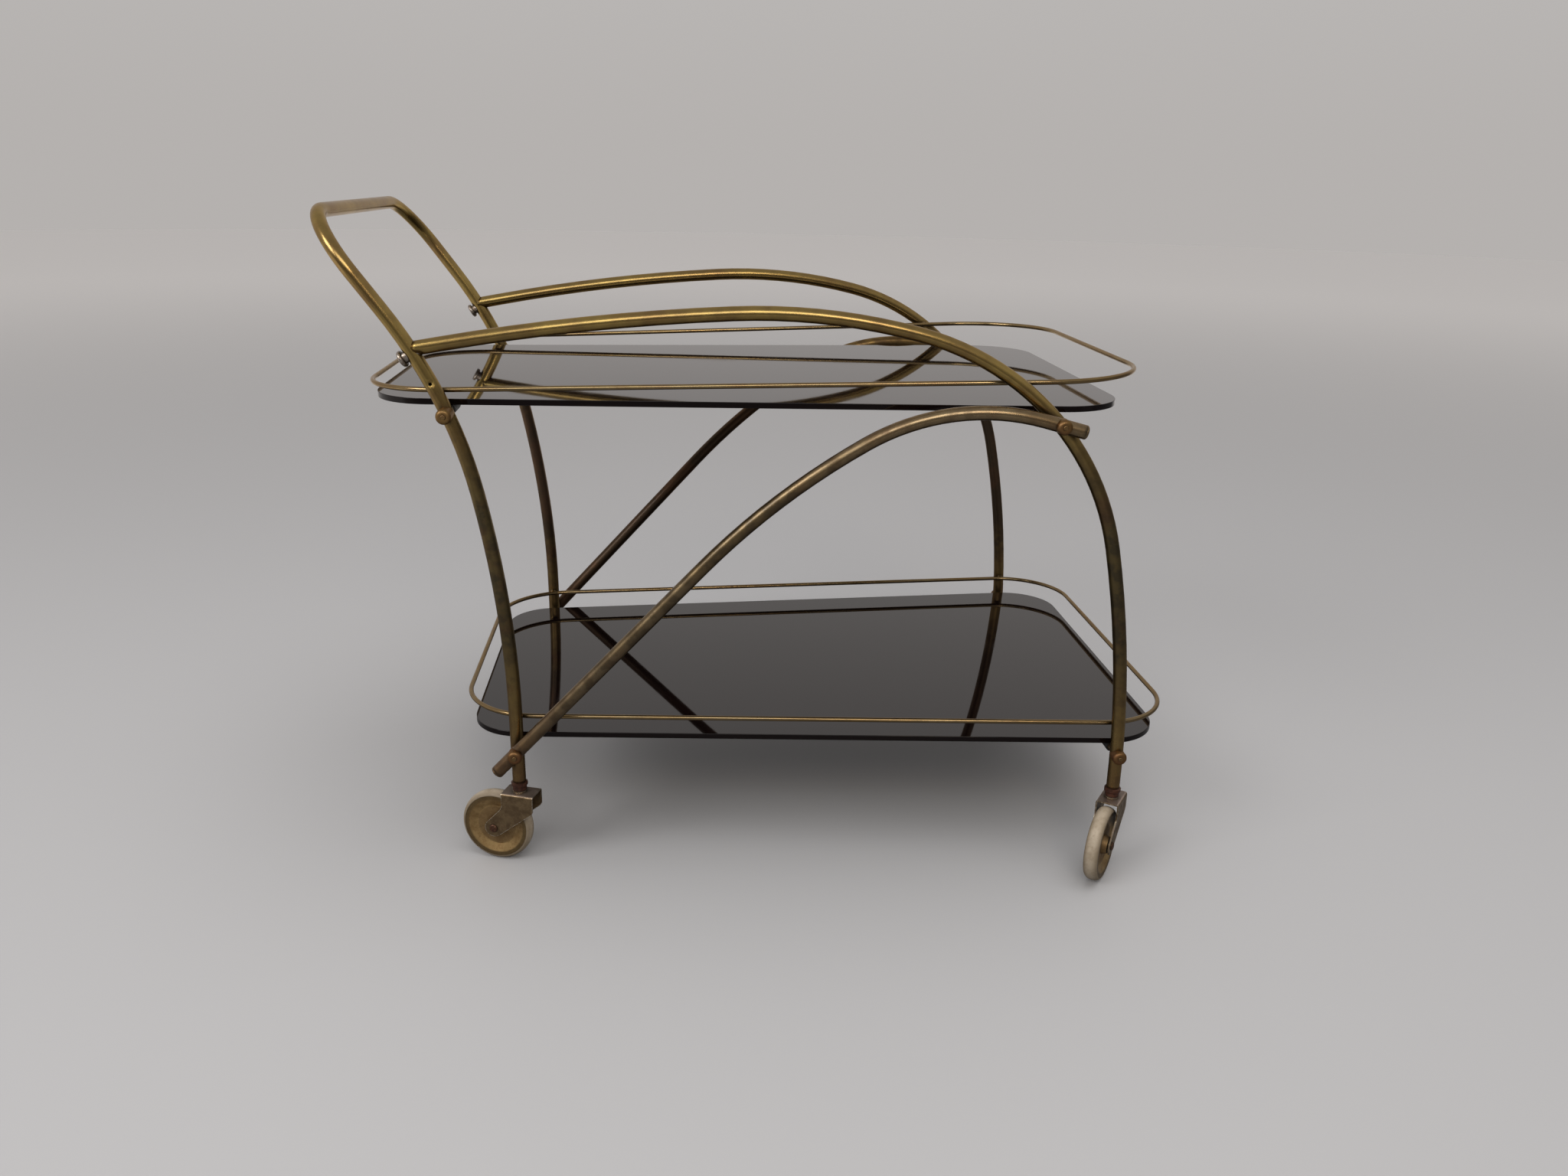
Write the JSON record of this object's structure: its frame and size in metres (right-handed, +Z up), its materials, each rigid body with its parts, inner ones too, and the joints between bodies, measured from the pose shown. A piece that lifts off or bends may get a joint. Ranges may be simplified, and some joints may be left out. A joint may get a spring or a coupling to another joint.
{
  "type": "bar cart",
  "caption": "Wheeled serving cart of bent brass tube with a raised push handle, arched side rails, diagonal braces, smoked glass shelves ringed by wire galleries, and swivel casters.",
  "frame": {"origin": "on the floor, under the middle of the cart's overall length and width", "axes": "+X toward the front, away from the push handle; +Z up; +Y toward the left-hand side"},
  "size_m": [0.8769, 0.6192, 0.6781],
  "materials": {
    "aged_brass": "aged plating, worn",
    "dark_brass": "aged plating, browned",
    "rod_brass": "drawn rod, dulled",
    "cap_brass": "turned, tarnished",
    "wire_brass": "drawn wire, tarnished",
    "screw_steel": "turned, dulled",
    "black_rubber": "matte",
    "smoked_glass": "dark smoked, polished",
    "ferrule_bronze": "rust brown, satin",
    "caster_steel": "pressed, dulled",
    "bush_bronze": "plain",
    "wheel_brass": "pressed, browned",
    "cream_rubber": "matte, yellowed"
  },
  "bodies": {
    "frame": {"handle_and_rear_legs": "aged_brass", "right_rail_and_front_leg": "aged_brass", "right_brace": "dark_brass", "right_brace_end_plugs": "dark_brass", "right_rail_plug": "screw_steel", "right_rail_screw": "screw_steel", "left_rail_and_front_leg": "aged_brass", "left_brace": "dark_brass", "left_brace_end_plugs": "dark_brass", "left_rail_plug": "screw_steel", "left_rail_screw": "screw_steel", "upper_rear_cross_rod": "rod_brass", "upper_rear_cap_nuts": "cap_brass", "upper_front_cross_rod": "rod_brass", "upper_front_cap_nuts": "cap_brass", "lower_rear_cross_rod": "rod_brass", "lower_rear_cap_nuts": "cap_brass", "lower_front_cross_rod": "rod_brass", "lower_front_cap_nuts": "cap_brass", "upper_front_brace_spacers": "cap_brass", "lower_rear_brace_spacers": "cap_brass", "upper_glass_shelf": "smoked_glass", "upper_shelf_sleeves": "black_rubber", "upper_gallery": "wire_brass", "upper_gallery_pins": "wire_brass", "lower_glass_shelf": "smoked_glass", "lower_shelf_sleeves": "black_rubber", "lower_gallery": "wire_brass", "lower_gallery_pins": "wire_brass", "right_rear_caster_socket": "ferrule_bronze", "left_rear_caster_socket": "ferrule_bronze", "right_front_caster_socket": "ferrule_bronze", "left_front_caster_socket": "ferrule_bronze"},
    "right_rear_fork": {"right_rear_caster_stem": "caster_steel", "right_rear_caster_yoke": "caster_steel", "right_rear_caster_axle": "caster_steel"},
    "right_rear_wheel": {"right_rear_caster_bush": "bush_bronze", "right_rear_caster_wheel": "wheel_brass", "right_rear_caster_tyre": "cream_rubber"},
    "left_rear_fork": {"left_rear_caster_stem": "caster_steel", "left_rear_caster_yoke": "caster_steel", "left_rear_caster_axle": "caster_steel"},
    "left_rear_wheel": {"left_rear_caster_bush": "bush_bronze", "left_rear_caster_wheel": "wheel_brass", "left_rear_caster_tyre": "cream_rubber"},
    "right_front_fork": {"right_front_caster_stem": "caster_steel", "right_front_caster_yoke": "caster_steel", "right_front_caster_axle": "caster_steel"},
    "right_front_wheel": {"right_front_caster_bush": "bush_bronze", "right_front_caster_wheel": "wheel_brass", "right_front_caster_tyre": "cream_rubber"},
    "left_front_fork": {"left_front_caster_stem": "caster_steel", "left_front_caster_yoke": "caster_steel", "left_front_caster_axle": "caster_steel"},
    "left_front_wheel": {"left_front_caster_bush": "bush_bronze", "left_front_caster_wheel": "wheel_brass", "left_front_caster_tyre": "cream_rubber"}
  },
  "joints": [
    {"name": "right_rear_swivel", "type": "hinge", "parent": "frame", "child": "right_rear_fork", "pos_m": [-0.2681, -0.2075, 0.0996], "axis": [0, 0, 1], "continuous": true},
    {"name": "right_rear_roll", "type": "hinge", "parent": "right_rear_fork", "child": "right_rear_wheel", "pos_m": [-0.29418, -0.19877, 0.04], "axis": [0.3173, 0.9483, 0], "continuous": true},
    {"name": "left_rear_swivel", "type": "hinge", "parent": "frame", "child": "left_rear_fork", "pos_m": [-0.2681, 0.2075, 0.0996], "axis": [0, 0, 1], "continuous": true},
    {"name": "left_rear_roll", "type": "hinge", "parent": "left_rear_fork", "child": "left_rear_wheel", "pos_m": [-0.29418, 0.19877, 0.04], "axis": [-0.3173, 0.9483, 0], "continuous": true},
    {"name": "right_front_swivel", "type": "hinge", "parent": "frame", "child": "right_front_fork", "pos_m": [0.3659, -0.252, 0.0996], "axis": [0, 0, 1], "continuous": true},
    {"name": "right_front_roll", "type": "hinge", "parent": "right_front_fork", "child": "right_front_wheel", "pos_m": [0.35032, -0.27466, 0.04], "axis": [-0.8241, 0.5664, 0], "continuous": true},
    {"name": "left_front_swivel", "type": "hinge", "parent": "frame", "child": "left_front_fork", "pos_m": [0.3659, 0.252, 0.0996], "axis": [0, 0, 1], "continuous": true},
    {"name": "left_front_roll", "type": "hinge", "parent": "left_front_fork", "child": "left_front_wheel", "pos_m": [0.35032, 0.27466, 0.04], "axis": [0.8241, 0.5664, 0], "continuous": true}
  ]
}
